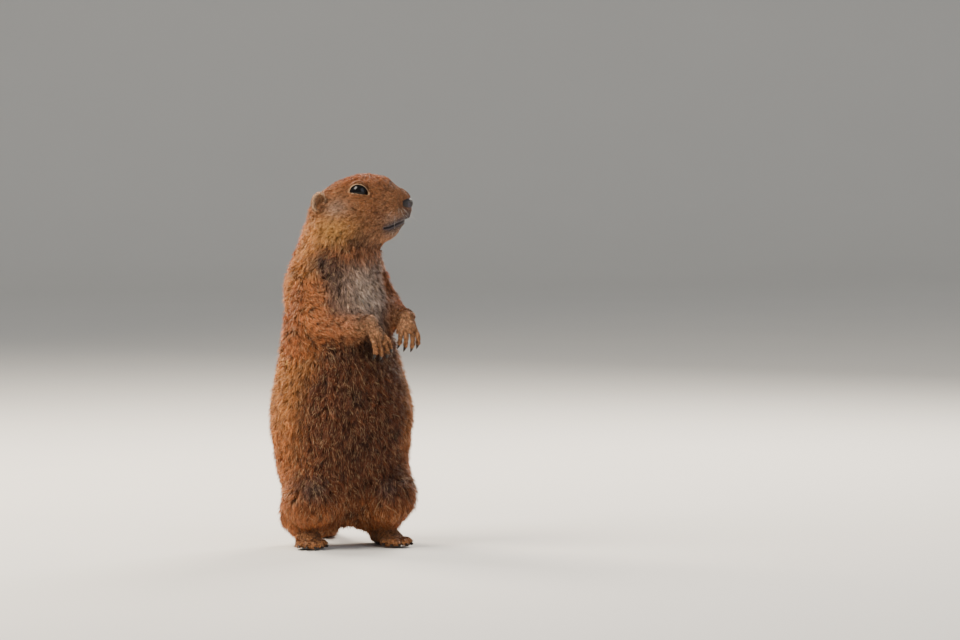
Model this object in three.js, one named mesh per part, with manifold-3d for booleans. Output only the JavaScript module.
// A prairie dog standing upright on its hind feet, at life size, as a still museum model.
// Millimetres, +Z up, floor at z = 0. The hips face -Y and the animal's left is +X. The chest turns
// to the left over the hips, and the head turns further, so that it looks almost along +X.
// The outer surface is the coat's own outline. The fur is short, so it isn't modelled hair by hair.

import * as THREE from "three";
import { mergeVertices } from "three/addons/utils/BufferGeometryUtils.js";
import Module from "manifold-3d";

const wasm = await Module();
wasm.setup();

// Driving dimensions of the whole animal
const GAP = 0.3; // what touching pieces keep between them
const HIPS_YAW = 4; // degrees that the hips turn to the left
const CHEST_YAW = 28; // degrees that the chest turns to the left
const HEAD_YAW = 71; // degrees that the head turns to the left
const HEAD_HEIGHT = 262; // middle of the skull over the floor
const SOLE_CUT = 1.2; // how deep the round undersides are cut to make the flats they rest on

// Grid steps of the modelled surfaces, from the smooth trunk to the small forms of the hands
const TRUNK_STEP = 10.4;
const LEG_STEP = 8;
const ROOM_STEP = 8.6;
const ARM_STEP = 5.8;
const HEAD_STEP = 4;
const HAND_STEP = 3.2;

// The coat colours, from its outer guard hairs, and those of the bare parts
const COLOURS = {
  flank: 0xa5623a,
  face: 0xa86a46,
  ear: 0xb07a58,
  paw: 0xb98a68,
  tail: 0x7a4a2e,
  nose: 0x1d1715,
  eye: 0x0b0808,
  claw: 0x241c18,
};

const radians = THREE.MathUtils.degToRad;
const UP = new THREE.Vector3(0, 0, 1);
const DOWN = new THREE.Vector3(0, 0, -1);

// Frames: x forward, y to the animal's left, z up. Yaw 0 faces -Y, and it grows to the animal's left

function standAt(x, y, z, yaw) {
  return new THREE.Matrix4()
    .makeTranslation(x, y, z)
    .multiply(new THREE.Matrix4().makeRotationZ(radians(yaw - 90)));
}

// A frame at a point that looks along a direction, with its z as near to the other as it can be
function frameAlong(origin, forward, upward) {
  const x = forward.clone().normalize();
  const y = new THREE.Vector3().crossVectors(upward, x).normalize();
  const z = new THREE.Vector3().crossVectors(x, y);
  return new THREE.Matrix4().makeBasis(x, y, z).setPosition(origin);
}

const HIPS = standAt(-2, 0, 0, HIPS_YAW);
const CHEST = standAt(-8, 1, 0, CHEST_YAW);
const HEAD = standAt(4, -2, HEAD_HEIGHT, HEAD_YAW);

function place(frame, [forward, left, up]) {
  return new THREE.Vector3(forward, left, up).applyMatrix4(frame);
}

function turn(frame, [forward, left, up]) {
  return new THREE.Vector3(forward, left, up).transformDirection(frame);
}

// Fields: a function of x, y, z that is the distance to a surface, negative inside

// An egg-shaped mass in a frame, with its radii forward, sideways and up, and its front tilted up
function egg(frame, centre, [rx, ry, rz], tilt = 0) {
  const own = frame
    .clone()
    .multiply(new THREE.Matrix4().makeTranslation(...centre))
    .multiply(new THREE.Matrix4().makeRotationY(radians(-tilt)));
  const e = own.invert().elements;
  return (x, y, z) => {
    const px = e[0] * x + e[4] * y + e[8] * z + e[12];
    const py = e[1] * x + e[5] * y + e[9] * z + e[13];
    const pz = e[2] * x + e[6] * y + e[10] * z + e[14];
    const near = Math.hypot(px / rx, py / ry, pz / rz);
    const slope = Math.hypot(px / rx ** 2, py / ry ** 2, pz / rz ** 2);
    return slope < 1e-6 ? -Math.min(rx, ry, rz) : (near * (near - 1)) / slope;
  };
}

// A round limb from a to b that goes from one radius to the other
function limb(a, b, radiusA, radiusB) {
  const along = b.clone().sub(a);
  const length2 = along.lengthSq();
  return (x, y, z) => {
    const px = x - a.x;
    const py = y - a.y;
    const pz = z - a.z;
    const share = (px * along.x + py * along.y + pz * along.z) / length2;
    const t = Math.min(1, Math.max(0, share));
    const off = Math.hypot(px - t * along.x, py - t * along.y, pz - t * along.z);
    return off - (radiusA + t * (radiusB - radiusA));
  };
}

// Joins fields with a soft fillet of about that width
function blend(width, ...fields) {
  return (x, y, z) =>
    fields
      .map((field) => field(x, y, z))
      .reduce((a, b) => {
        const h = Math.max(width - Math.abs(a - b), 0) / width;
        return Math.min(a, b) - (h * h * width) / 4;
      });
}

const grown = (field, by) => (x, y, z) => field(x, y, z) - by;

// Solids

function solidOf(points, triangles) {
  const mesh = new wasm.Mesh({
    numProp: 3,
    vertProperties: new Float32Array(points),
    triVerts: new Uint32Array(triangles),
  });
  return new wasm.Manifold(mesh);
}

function solidOfGeometry(geometry, frame = new THREE.Matrix4()) {
  const bare = geometry.clone();
  bare.deleteAttribute("normal");
  bare.deleteAttribute("uv");
  bare.applyMatrix4(frame);
  const merged = mergeVertices(bare, 1e-4);
  return solidOf(merged.getAttribute("position").array, merged.index.array);
}

function geometryOf(solid) {
  const mesh = solid.getMesh();
  const geometry = new THREE.BufferGeometry();
  geometry.setAttribute("position", new THREE.BufferAttribute(mesh.vertProperties, 3));
  geometry.setIndex(new THREE.BufferAttribute(mesh.triVerts, 1));
  geometry.computeVertexNormals();
  return geometry;
}

function largest(solid) {
  return solid.decompose().reduce((a, b) => (b.volume() > a.volume() ? b : a));
}

// Draws together the ends of the very short edges that cuts leave behind
function withoutSlivers(solid, shortest = 0.03) {
  const { vertProperties: points, triVerts: corners } = solid.getMesh();
  const keeper = Array.from({ length: points.length / 3 }, (_, i) => i);
  const kept = (i) => {
    while (keeper[i] !== i) i = keeper[i];
    return i;
  };
  const length = (a, b) => Math.hypot(...[0, 1, 2].map((n) => points[3 * a + n] - points[3 * b + n]));
  for (let i = 0; i < corners.length; i++) {
    const next = i % 3 === 2 ? i - 2 : i + 1;
    const [a, b] = [kept(corners[i]), kept(corners[next])];
    if (length(corners[i], corners[next]) < shortest) keeper[Math.max(a, b)] = Math.min(a, b);
  }
  const triangles = [];
  for (let i = 0; i < corners.length; i += 3) {
    const [a, b, c] = [kept(corners[i]), kept(corners[i + 1]), kept(corners[i + 2])];
    if (a !== b && b !== c && c !== a) triangles.push(a, b, c);
  }
  return solidOf(points, triangles);
}

const joined = (...solids) => solids.reduce((a, b) => a.add(b));
const cutBy = (solid, ...cutters) => cutters.reduce((a, b) => a.subtract(b), solid);
const within = (solid, ...limits) => limits.reduce((a, b) => a.intersect(b), solid);

// A round body in a frame, with its radii forward, sideways and up, and its front tilted up
function ball(frame, centre, radii, tilt = 0, across = 14, down = 9) {
  const geometry = new THREE.SphereGeometry(1, across, down);
  geometry.scale(...radii);
  geometry.rotateY(radians(-tilt));
  geometry.translate(...centre);
  return solidOfGeometry(geometry, frame);
}

// A solid whose corners are moved out along their normals, to cut the room that another one needs
function swollen(solid, by = GAP) {
  const geometry = geometryOf(solid);
  const normals = geometry.getAttribute("normal").array;
  const points = [...geometry.getAttribute("position").array].map((v, i) => v + by * normals[i]);
  return solidOf(points, geometry.index.array);
}

// A large block on one side of a plane
function side(point, normal, offset = 0) {
  const size = 400;
  const turned = new THREE.Quaternion().setFromUnitVectors(UP, normal);
  const middle = point.clone().addScaledVector(normal, offset + size / 2);
  const block = new THREE.BoxGeometry(size, size, size);
  return solidOfGeometry(block, new THREE.Matrix4().compose(middle, turned, new THREE.Vector3(1, 1, 1)));
}

// The two sides of a cut at a plane, half a gap away from it
const above = ([point, normal]) => side(point, normal, GAP / 2);
const below = ([point, normal]) => side(point, normal.clone().negate(), GAP / 2);

// The closed surface where a shape's field is zero, from a grid with one point in each crossed cell.
// Walls just inside the grid's box close a shape that runs out of it
function surfaceOf(shape, low, high, step) {
  const walls = (p) => Math.max(...p.map((v, i) => Math.max(low[i] + step - v, v - high[i] + step)));
  const field = (...p) => Math.max(shape(...p), walls(p));
  const [nx, ny, nz] = low.map((v, i) => Math.ceil((high[i] - v) / step) + 1);
  const at = (i, j, k) => i + nx * (j + ny * k);
  const values = new Float32Array(nx * ny * nz);
  for (let k = 0; k < nz; k++)
    for (let j = 0; j < ny; j++)
      for (let i = 0; i < nx; i++)
        values[at(i, j, k)] = field(low[0] + i * step, low[1] + j * step, low[2] + k * step);

  const cells = new Int32Array(nx * ny * nz).fill(-1);
  const points = [];
  for (let k = 0; k < nz - 1; k++)
    for (let j = 0; j < ny - 1; j++)
      for (let i = 0; i < nx - 1; i++) {
        const point = cellPoint(values, at, [i, j, k]);
        if (!point) continue;
        cells[at(i, j, k)] = points.length / 3;
        points.push(...onSurface(field, point.map((v, axis) => low[axis] + v * step), step));
      }

  const triangles = [];
  const steps = [[1, 0, 0], [0, 1, 0], [0, 0, 1]];
  for (let k = 1; k < nz - 1; k++)
    for (let j = 1; j < ny - 1; j++)
      for (let i = 1; i < nx - 1; i++)
        steps.forEach(([di, dj, dk], axis) => {
          const inside = values[at(i, j, k)] < 0;
          if (inside === values[at(i + di, j + dj, k + dk)] < 0) return;
          const u = steps[(axis + 1) % 3];
          const v = steps[(axis + 2) % 3];
          const corner = (s, t) =>
            cells[at(i - s * u[0] - t * v[0], j - s * u[1] - t * v[1], k - s * u[2] - t * v[2])];
          const quad = [corner(1, 1), corner(0, 1), corner(0, 0), corner(1, 0)];
          triangles.push(...facesOf(points, inside ? quad : quad.reverse()));
        });
  return solidOf(points, triangles);
}

// The mean of the places where the surface crosses one cell's edges, in grid steps, or nothing
function cellPoint(values, at, cell) {
  const sum = [0, 0, 0];
  let crossings = 0;
  for (let axis = 0; axis < 3; axis++)
    for (let s = 0; s < 2; s++)
      for (let t = 0; t < 2; t++) {
        const from = [...cell];
        from[(axis + 1) % 3] += s;
        from[(axis + 2) % 3] += t;
        const to = [...from];
        to[axis] += 1;
        const a = values[at(...from)];
        const b = values[at(...to)];
        if (a < 0 === b < 0) continue;
        from[axis] += a / (a - b);
        from.forEach((v, n) => (sum[n] += v));
        crossings += 1;
      }
  return crossings ? sum.map((v) => v / crossings) : null;
}

// Moves a point of the grid onto the surface, by at most a quarter of a step at a time
function onSurface(field, point, step) {
  const reach = 0.05;
  const limit = 0.25 * step;
  const p = [...point];
  for (let pass = 0; pass < 3; pass++) {
    const value = field(...p);
    const slope = p.map((v, axis) => {
      const ahead = [...p];
      const behind = [...p];
      ahead[axis] += reach;
      behind[axis] -= reach;
      return (field(...ahead) - field(...behind)) / (2 * reach);
    });
    const size2 = slope.reduce((sum, v) => sum + v * v, 1e-6);
    p.forEach((v, axis) => {
      const move = (-value * slope[axis]) / size2;
      p[axis] = v + Math.min(limit, Math.max(-limit, move));
    });
  }
  return p;
}

// Two triangles across the shorter diagonal of four points
function facesOf(points, [a, b, c, d]) {
  const gap = (m, n) => Math.hypot(...[0, 1, 2].map((i) => points[3 * m + i] - points[3 * n + i]));
  return gap(a, c) <= gap(b, d) ? [a, b, c, a, c, d] : [a, b, d, b, c, d];
}

const curveOf = (points) => new THREE.CatmullRomCurve3(points, false, "centripetal");

// A body lofted along a curve, with flat ends: sizes are half widths and half heights down the curve
function loft(curve, sizes, up, sides, rings) {
  const spread = new THREE.SplineCurve(sizes.map(([w, h]) => new THREE.Vector2(w, h)));
  const points = [];
  for (let ring = 0; ring < rings; ring++) {
    const t = ring / (rings - 1);
    const middle = curve.getPoint(t);
    const along = curve.getTangent(t);
    const across = new THREE.Vector3().crossVectors(up, along).normalize();
    const over = new THREE.Vector3().crossVectors(along, across);
    const size = spread.getPoint(t);
    for (let s = 0; s < sides; s++) {
      const angle = (2 * Math.PI * (s + 0.5)) / sides;
      const point = middle
        .clone()
        .addScaledVector(across, size.x * Math.cos(angle))
        .addScaledVector(over, size.y * Math.sin(angle));
      points.push(point.x, point.y, point.z);
    }
  }
  const triangles = [];
  for (let ring = 0; ring < rings - 1; ring++)
    for (let s = 0; s < sides; s++) {
      const a = ring * sides + s;
      const b = ring * sides + ((s + 1) % sides);
      triangles.push(a, b, b + sides, a, b + sides, a + sides);
    }
  const last = (rings - 1) * sides;
  for (let s = 1; s < sides - 1; s++) {
    triangles.push(0, s + 1, s);
    triangles.push(last, last + s, last + s + 1);
  }
  return solidOf(points, triangles);
}

// The masses of the body

const trunk = blend(
  20,
  egg(HIPS, [-9, 0, 60], [43, 46, 48]),
  egg(HIPS, [1, -2, 102], [49, 57.5, 63]),
  egg(CHEST, [1, 0, 156], [42, 45, 60]),
  egg(CHEST, [-1, 0, 202], [33, 37, 30]),
);
const neck = limb(place(CHEST, [-4, -2, 207]), place(HEAD, [-9, 0, -12]), 33.5, 27.5);

const skull = blend(
  8,
  egg(HEAD, [6, 0, 2], [30, 24.5, 24.3]),
  limb(place(HEAD, [14, 0, 6]), place(HEAD, [33, 0, 5.2]), 20.6, 11.6),
  egg(HEAD, [34.2, 0, 4.6], [12, 8.8, 10.6]),
  egg(HEAD, [21, 0, -12], [17, 12, 10], -8),
  egg(HEAD, [31, 5, -3], [11.5, 7.6, 8.5]),
  egg(HEAD, [31, -5, -3], [11.5, 7.6, 8.5]),
  egg(HEAD, [-7, 12, -10], [20, 14, 17]),
  egg(HEAD, [-7, -12, -10], [20, 14, 17]),
);

const SIDES = { right: -1, left: 1 };

// Each folded hind leg: the knee points forward, the shank lies back over the foot to the heel
const LEG = { hip: [-6, 27, 66], knee: [22, 31, 41], heel: [-9, 31, 25] };
const THIGH_RADII = [24, 20.5];
const SHANK_RADII = [20, 19.5];

function legOf(sign) {
  const at = ([forward, left, up]) => place(HIPS, [forward, sign * left, up]);
  const knee = at(LEG.knee);
  return blend(10, limb(at(LEG.hip), knee, ...THIGH_RADII), limb(knee, at(LEG.heel), ...SHANK_RADII));
}

// The arms: the elbows lie at the sides, and the hands hang from the wrists in front of the chest
const ARMS = {
  right: {
    shoulder: [4, -22, 200],
    elbow: [3, -35, 166],
    wrist: [52, -8, 175],
    hand: [0.6, 0.42, -0.68], // which way the palm runs from the wrist
    bends: [2, 22, 42], // of the finger bones, in degrees
  },
  left: {
    shoulder: [6, 24, 209],
    elbow: [9, 37, 185],
    wrist: [49, 30, 178],
    hand: [0.62, -0.3, -0.6],
    bends: [12, 50, 78],
  },
};
const UPPER_ARM_RADII = [15, 14.5];
const FOREARM_RADII = [14.5, 7.4];
const ARM_SKIN = 2.5; // how far an arm's own piece reaches past its mass, into the fillet round it

function armOf(name) {
  const { shoulder, elbow, wrist, hand, bends } = ARMS[name];
  const [top, bend, end] = [shoulder, elbow, wrist].map((p) => place(CHEST, p));
  const field = blend(8, limb(top, bend, ...UPPER_ARM_RADII), limb(bend, end, ...FOREARM_RADII));
  const box = new THREE.Box3().setFromPoints([top, bend, end]).expandByScalar(35);
  return {
    elbow: bend,
    wrist: end,
    along: end.clone().sub(bend).normalize(),
    field,
    box: [box.min.toArray(), box.max.toArray()],
    room: surfaceOf(grown(field, ARM_SKIN), box.min.toArray(), box.max.toArray(), ROOM_STEP),
    hand: frameAlong(end, turn(CHEST, hand), UP),
    bends,
    thumbSide: -SIDES[name],
  };
}

const arms = { right: armOf("right"), left: armOf("left") };
const legs = { right: legOf(SIDES.right), left: legOf(SIDES.left) };
const core = blend(10, blend(14, trunk, neck), skull);
const body = blend(8, core, legs.right, legs.left, arms.right.field, arms.left.field);

// The model: one mesh to each named part of the body

const model = new THREE.Group();

function node(name, solid, colour, roughness = 0.9) {
  const material = new THREE.MeshStandardMaterial({ color: colour, roughness, metalness: 0 });
  const mesh = new THREE.Mesh(geometryOf(withoutSlivers(largest(solid))), material);
  mesh.name = name;
  model.add(mesh);
}

const underFloor = side(new THREE.Vector3(), DOWN);

// A digit: its bones' lengths, and how far each one is bent down from the frame's x, in degrees
function digitCurve(frame, start, lengths, bends, splay = 0) {
  const points = [start];
  lengths.forEach((length, i) => {
    const [x, y, z] = points.at(-1);
    const flat = length * Math.cos(radians(bends[i]));
    const drop = length * Math.sin(radians(bends[i]));
    points.push([x + flat * Math.cos(radians(splay)), y + flat * Math.sin(radians(splay)), z - drop]);
  });
  return curveOf(points.map((p) => place(frame, p)));
}

// A claw that goes on from a digit's end and hooks toward a direction
function clawOn(digit, length, hook, radii, up) {
  const tip = digit.getPoint(1);
  const along = digit.getTangent(1);
  const points = [0, 0.5, 1].map((t) =>
    tip
      .clone()
      .addScaledVector(along, GAP + length * t * (1 - 0.15 * t))
      .addScaledVector(hook, 0.3 * length * t * t),
  );
  return loft(curveOf(points), radii, up, 6, 4);
}

// Hind feet: a long sole with five toes

const FOOT_PATH = [[-14, 30, 6], [-2, 30, 7.5], [12, 32, 7], [25, 34, 4.2]];
const FOOT_SIZES = [[5, 5.5], [8.5, 7.5 + SOLE_CUT], [9.5, 7 + SOLE_CUT], [9.5, 4]];
const TOES = [
  { out: -8.2, length: 7 },
  { out: -4.2, length: 11.5 },
  { out: 0, length: 13 },
  { out: 4.2, length: 12 },
  { out: 8.2, length: 7.5 },
];
const TOE_RADII = [[2.6, 3.4], [2.3, 3], [1.9, 2.4]];
const TOE_CLAW = { length: 5.5, radii: [[1.2, 1.6], [0.9, 1.2], [0.3, 0.35]] };

function footOf(sign) {
  const at = ([forward, left, up]) => place(HIPS, [forward, sign * left, up]);
  const pieces = [loft(curveOf(FOOT_PATH.map(at)), FOOT_SIZES, UP, 10, 6)];
  const claws = TOES.map(({ out, length }) => {
    const start = [20, sign * (34 + out), 4.2];
    const lengths = [4 + length / 2, length / 2];
    const toe = digitCurve(HIPS, start, lengths, [-4, 20], sign * out * 1.6);
    pieces.push(loft(toe, TOE_RADII, UP, 6, 3));
    return cutBy(clawOn(toe, TOE_CLAW.length, UP, TOE_CLAW.radii, UP), underFloor);
  });
  return { foot: cutBy(joined(...pieces), underFloor), claws };
}

// The cut between the trunk and a hind leg, from the groin up and out to the hip, and the knee's own
function legCuts(sign) {
  const at = ([forward, left, up]) => place(HIPS, [forward, sign * left, up]);
  const rise = new THREE.Vector2(41, 62).normalize();
  const hip = [at([0, 11, 22]), turn(HIPS, [0, sign * rise.y, -rise.x])];
  const crease = [at([0, 0, 40]), turn(HIPS, [0.25, 0, 0.968])];
  return { hip, crease };
}

for (const [name, sign] of Object.entries(SIDES)) {
  const { hip, crease } = legCuts(sign);
  const { foot, claws } = footOf(sign);
  const [low, high] = sign < 0 ? [[-75, -55, -10], [5, 50, 110]] : [[-5, -55, -10], [75, 50, 110]];
  const leg = within(surfaceOf(body, low, high, LEG_STEP), above(hip));
  const clear = side(new THREE.Vector3(0, 0, 3), DOWN);
  node("thigh_" + name, within(leg, above(crease)), COLOURS.flank);
  node("shank_" + name, cutBy(within(leg, below(crease)), swollen(foot), clear), COLOURS.flank);
  node("foot_" + name, foot, COLOURS.paw);
  claws.forEach((claw, i) => node("toe_claw_" + name + "_" + (i + 1), claw, COLOURS.claw, 0.4));
}

// Tail: flat and bushy, bent down from the rump and laid on the floor

const TAIL_PATH = [[-34, 0, 30], [-50, 0, 16], [-67, 1, 8], [-88, 3, 5.6], [-108, 6, 5.2], [-114, 7, 5]];
const TAIL_SIZES = [[8, 9], [9.5, 8.5], [11, 8.5], [12.5, 6.8], [9, 5.6], [4, 3]];
const tailCurve = curveOf(TAIL_PATH.map((p) => place(HIPS, p)));
const tail = cutBy(loft(tailCurve, TAIL_SIZES, UP, 12, 12), underFloor);

// Trunk and neck, parted from each other and from the head by planes: a point and a normal each

const NECK_FOOT = [place(CHEST, [0, 0, 224]), UP];
const NECK_TOP = [place(HEAD, [-38, 0, -5]), turn(HEAD, [0.344, 0, 0.939])];

const trunkSolid = surfaceOf(body, [-75, -75, -10], [75, 70, 262], TRUNK_STEP);
const hipBlocks = Object.values(SIDES).map((sign) => {
  const [point, normal] = legCuts(sign).hip;
  return side(point, normal, -GAP / 2);
});
const armRooms = Object.values(arms).map((arm) => swollen(arm.room));
const torso = cutBy(within(trunkSolid, below(NECK_FOOT)), ...armRooms, ...hipBlocks, swollen(tail));
node("torso", torso, COLOURS.flank);
node("tail", tail, COLOURS.tail);

const neckSolid = surfaceOf(body, [-60, -60, 205], [60, 60, 275], LEG_STEP);
const neckPiece = cutBy(within(neckSolid, above(NECK_FOOT), below(NECK_TOP)), ...armRooms);
node("neck", neckPiece, COLOURS.flank);

// Eyes: a ball in a socket, with lids that bulge round it and part in an almond-shaped opening

const EYE = { place: [7.4, 15.9, 14.8], axis: [0.14, 0.92, 0.37], ball: 7.4, lids: 8.6 };
const LID_OPENING = { half: 7, upper: 4.8, lower: 3.8 };

function eyeOf(sign) {
  const [f, l, u] = EYE.place;
  const [fx, lx, ux] = EYE.axis;
  const outward = turn(HEAD, [fx, sign * lx, ux]);
  const upward = turn(HEAD, [0, 0, 1]);
  const across = new THREE.Vector3().crossVectors(upward, outward).normalize();
  const frame = new THREE.Matrix4()
    .makeBasis(across, new THREE.Vector3().crossVectors(outward, across), outward)
    .setPosition(place(HEAD, [f, sign * l, u]));
  const { half, upper, lower } = LID_OPENING;
  const almond = new THREE.Shape();
  almond.moveTo(-half, 0);
  almond.bezierCurveTo(-half * 0.65, upper * 1.3, half * 0.65, upper * 1.3, half, 0);
  almond.bezierCurveTo(half * 0.6, -lower * 1.3, -half * 0.6, -lower * 1.3, -half, 0);
  const opening = new THREE.ExtrudeGeometry(almond, { depth: 20, bevelEnabled: false, curveSegments: 6 });
  const round = (radius) => ball(frame, [0, 0, 0], [radius, radius, radius]);
  return {
    ball: round(EYE.ball),
    socket: joined(round(EYE.ball + GAP), solidOfGeometry(opening, frame)),
    lids: ball(frame, [0, 0, 0], [EYE.lids, EYE.lids, EYE.lids], 0, 18, 12),
  };
}

// The mouth: a thin curved groove between the lips, as deep as the lips are thick

const MOUTH_LINE = [[52, -1.5], [43, -4.4], [36, -7.8], [30, -10.8], [24, -12.8]];
const MOUTH_GAP = 0.7;
const LIP_DEPTH = 1.4;

function mouthGroove() {
  const middle = new THREE.SplineCurve(MOUTH_LINE.map(([x, z]) => new THREE.Vector2(x, z))).getPoints(8);
  const upper = middle.map((p) => new THREE.Vector2(p.x, p.y + MOUTH_GAP / 2));
  const lower = middle.map((p) => new THREE.Vector2(p.x, p.y - MOUTH_GAP / 2)).reverse();
  const outline = new THREE.Shape([...upper, ...lower]);
  const sheet = new THREE.ExtrudeGeometry(outline, { depth: 60, bevelEnabled: false });
  sheet.translate(0, 0, -30);
  sheet.rotateX(Math.PI / 2);
  const behindLips = surfaceOf(grown(skull, -LIP_DEPTH), [-20, -50, 230], [60, 45, 275], HEAD_STEP);
  return cutBy(solidOfGeometry(sheet, HEAD), behindLips);
}

// The nose: a bare pad at the tip with two nostrils

const NOSE = { place: [40.8, 0, 5.2], radii: [6.6, 6.2, 6.4] };
const NOSTRIL = { place: [46, 3.7, 4.2], radii: [3, 1.3, 2] };

function noseOf() {
  const [f, l, u] = NOSTRIL.place;
  const nostrils = [-1, 1].map((sign) => ball(HEAD, [f, sign * l, u], NOSTRIL.radii, 20, 8, 6));
  return cutBy(ball(HEAD, NOSE.place, NOSE.radii), ...nostrils);
}

// The ears: low round cups behind the eyes that open forward and out

const EAR = { place: [-23.6, 20.4, 6.8], radii: [5.6, 5.4, 7.9], tilt: -14 };
const EAR_CUP = { place: [-22.2, 23.6, 7], radii: [4.3, 5, 6.4] };

function earOf(sign) {
  const at = ([forward, left, up]) => [forward, sign * left, up];
  const cup = ball(HEAD, at(EAR_CUP.place), EAR_CUP.radii, EAR.tilt);
  return cutBy(ball(HEAD, at(EAR.place), EAR.radii, EAR.tilt), cup);
}

// The head, with what is let into it and what stands on it

const headSolid = surfaceOf(core, [-45, -45, 222], [65, 45, 300], HEAD_STEP);
const noseRoom = ball(HEAD, NOSE.place, NOSE.radii.map((r) => r + GAP));
const eyes = { right: eyeOf(SIDES.right), left: eyeOf(SIDES.left) };
const faceSolid = joined(headSolid, eyes.right.lids, eyes.left.lids);
const faceRooms = [eyes.right.socket, eyes.left.socket, mouthGroove(), noseRoom];
node("head", cutBy(within(faceSolid, above(NECK_TOP)), ...faceRooms), COLOURS.face);
node("nose", noseOf(), COLOURS.nose, 0.5);
for (const [name, sign] of Object.entries(SIDES)) {
  node("eye_" + name, eyes[name].ball, COLOURS.eye, 0.1);
  node("ear_" + name, cutBy(earOf(sign), swollen(headSolid), swollen(neckPiece)), COLOURS.ear);
}

// Arms and hands

const PALM = { place: [6.5, 0, -0.5], radii: [9.8, 6.4, 4.6] };
const FINGERS = [
  { out: -4.6, length: 11 },
  { out: -1.6, length: 13.5 },
  { out: 1.6, length: 14 },
  { out: 4.6, length: 11.5 },
];
const FINGER_RADII = [[2.5, 2.3], [2.2, 2], [1.9, 1.7]];
const FINGER_CLAW = { length: 8, radii: [[1.5, 1.2], [1.1, 0.9], [0.3, 0.25]] };
const THUMB_RADII = [[2, 2], [1.6, 1.5]];

function handOf({ field, hand, bends, thumbSide }, end) {
  const mass = blend(4, field, egg(hand, PALM.place, PALM.radii));
  const around = new THREE.Box3().setFromPoints([place(hand, PALM.place)]).expandByScalar(22);
  const palm = surfaceOf(mass, around.min.toArray(), around.max.toArray(), HAND_STEP);
  const pieces = [palm];
  const across = turn(hand, [0, 1, 0]);
  const hook = turn(hand, [-1, 0, -0.4]);
  const claws = FINGERS.map(({ out, length }) => {
    const lengths = [4 + length * 0.3, length * 0.4, length * 0.3];
    const finger = digitCurve(hand, [8, out, -0.4], lengths, bends, out * 2.4);
    pieces.push(loft(finger, FINGER_RADII, across, 6, 5));
    return clawOn(finger, FINGER_CLAW.length, hook, FINGER_CLAW.radii, across);
  });
  const thumb = digitCurve(hand, [3, 4.6 * thumbSide, -1.5], [5, 4], [15, 50], 24 * thumbSide);
  pieces.push(loft(thumb, THUMB_RADII, across, 6, 3));
  return { hand: within(joined(...pieces), above(end)), claws };
}

for (const [name, arm] of Object.entries(arms)) {
  const bend = [arm.elbow.clone().lerp(arm.wrist, 0.15), arm.along];
  const end = [arm.wrist.clone().addScaledVector(arm.along, 1), arm.along];
  const solid = within(surfaceOf(body, ...arm.box, ARM_STEP), arm.room);
  const { hand, claws } = handOf(arm, end);
  node("upper_arm_" + name, within(solid, below(bend)), COLOURS.flank);
  node("forearm_" + name, within(solid, above(bend), below(end)), COLOURS.flank);
  node("hand_" + name, hand, COLOURS.paw);
  claws.forEach((claw, i) => node("finger_claw_" + name + "_" + (i + 1), claw, COLOURS.claw, 0.4));
}

// The origin is the middle of the whole model's box, at the floor
const whole = new THREE.Box3().setFromObject(model);
const middle = whole.getCenter(new THREE.Vector3());
model.position.set(-middle.x, -middle.y, -whole.min.z);

export default model;
